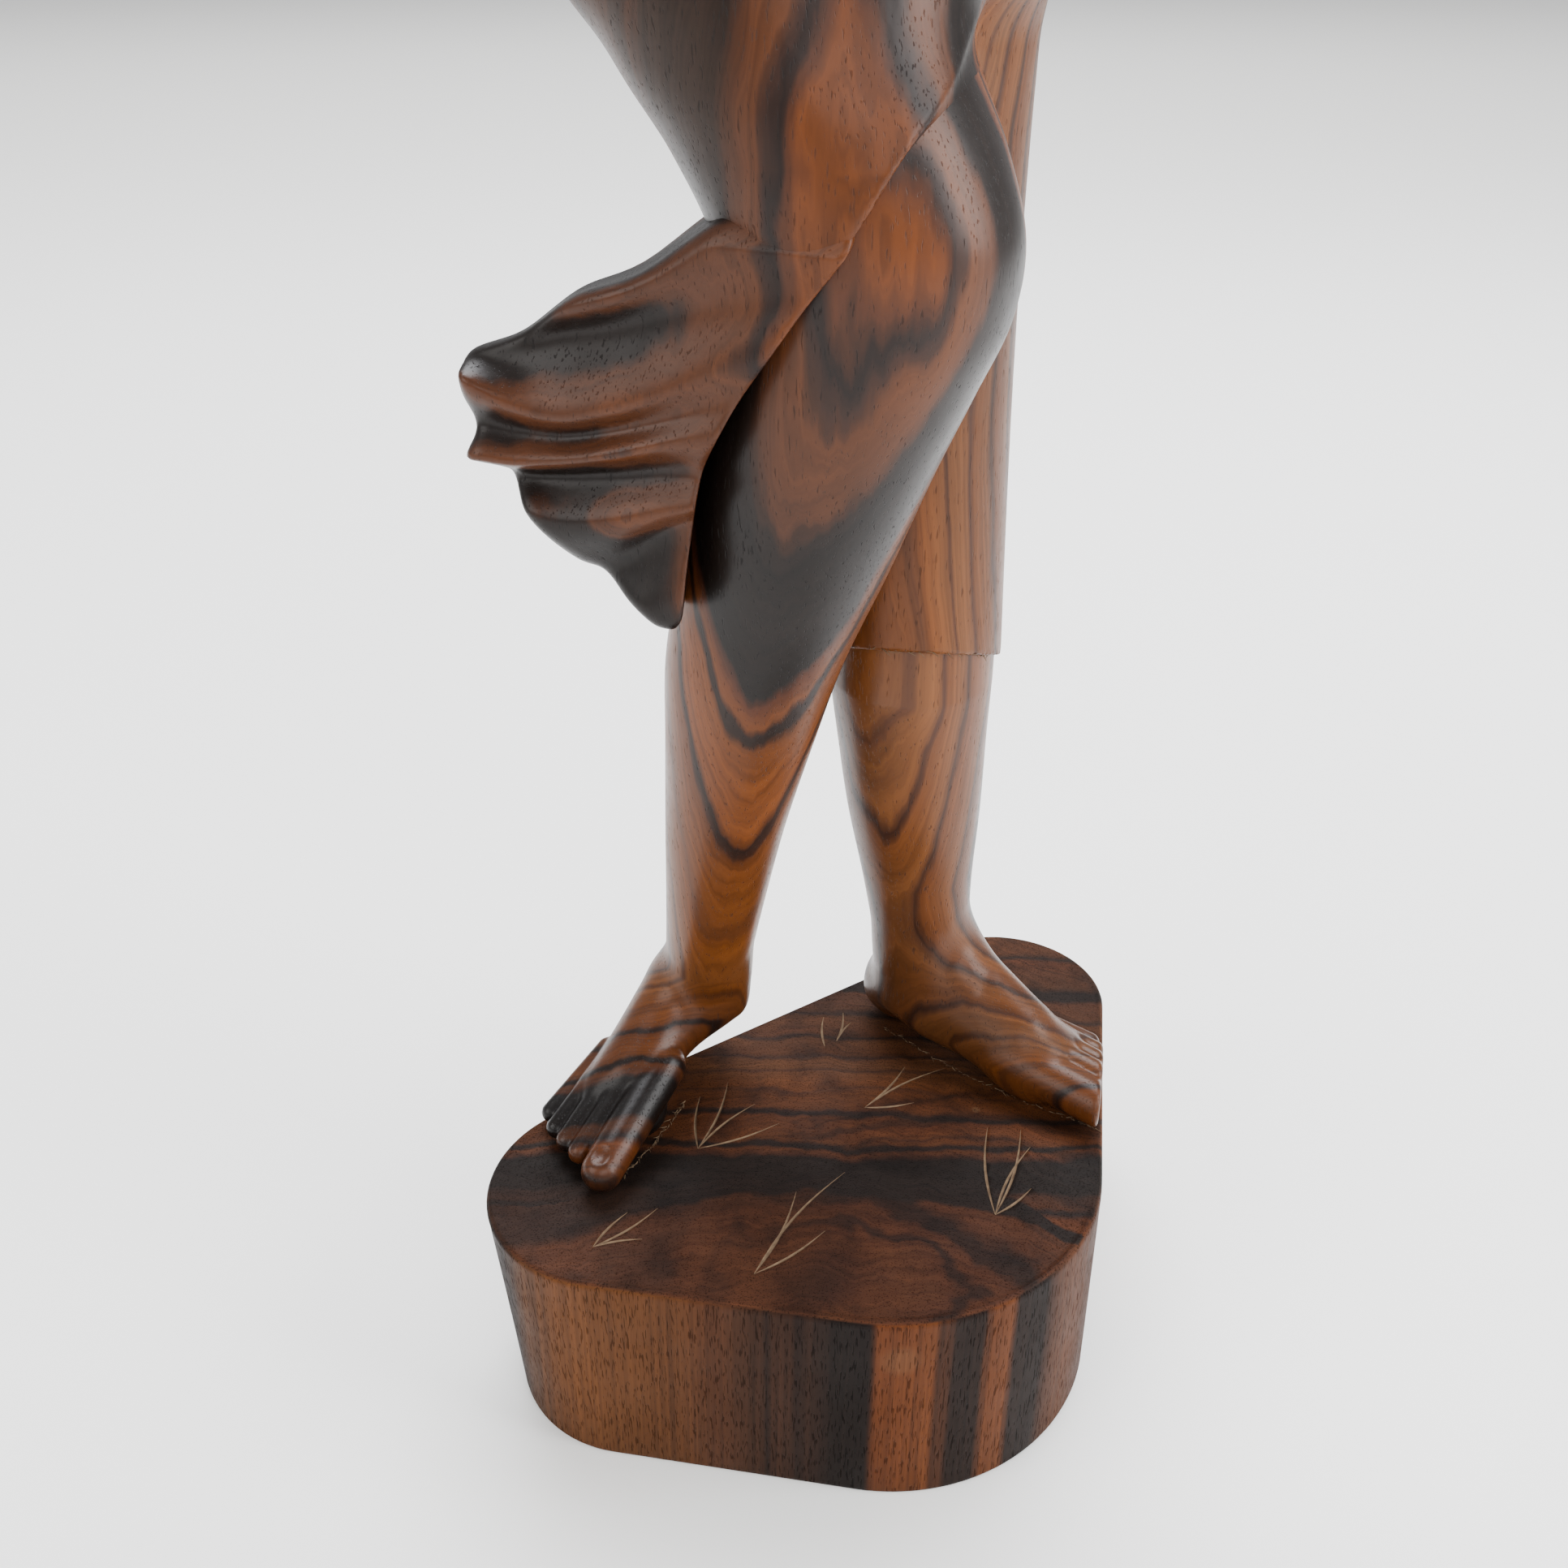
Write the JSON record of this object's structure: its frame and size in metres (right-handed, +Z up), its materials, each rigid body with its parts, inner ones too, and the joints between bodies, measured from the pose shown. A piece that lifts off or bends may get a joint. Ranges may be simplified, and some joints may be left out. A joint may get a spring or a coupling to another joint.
{
  "type": "carved standing figure",
  "caption": "Wooden statuette of a slender woman in a wrapped sarong, one knee crossing the other leg, on a free-form block that keeps her upright on a table or shelf.",
  "frame": {"origin": "on the flat underside of the block, at the middle of its outline's box", "axes": "+Z up the figure; -Y is the way she faces; +X is her left, the viewer's right"},
  "size_m": [0.1189, 0.1013, 0.4555],
  "materials": {
    "ebony_block": "sanded and waxed streaked ebony, satin",
    "ebony_skin": "polished and waxed streaked ebony, semi-gloss",
    "ebony_cloth": "polished and waxed streaked ebony, satin",
    "ebony_hair": "grooved and waxed dark ebony, satin"
  },
  "bodies": {
    "root": {"base_block": "ebony_block", "right_foot": "ebony_skin", "right_lower_leg": "ebony_skin", "left_foot": "ebony_skin", "left_lower_leg": "ebony_skin", "sarong_left_panel": "ebony_cloth", "sarong_right_panel": "ebony_cloth", "blown_cloth": "ebony_cloth", "sarong_hip_wrap": "ebony_cloth", "waist_sash": "ebony_cloth", "midriff": "ebony_skin", "bodice": "ebony_cloth", "shoulders": "ebony_skin", "neck": "ebony_skin", "head": "ebony_skin", "hair_cap": "ebony_hair", "hair_bun": "ebony_hair", "right_upper_arm": "ebony_skin", "right_forearm": "ebony_skin", "right_hand": "ebony_skin", "left_upper_arm": "ebony_skin", "left_forearm": "ebony_skin", "left_hand": "ebony_skin"}
  },
  "joints": []
}
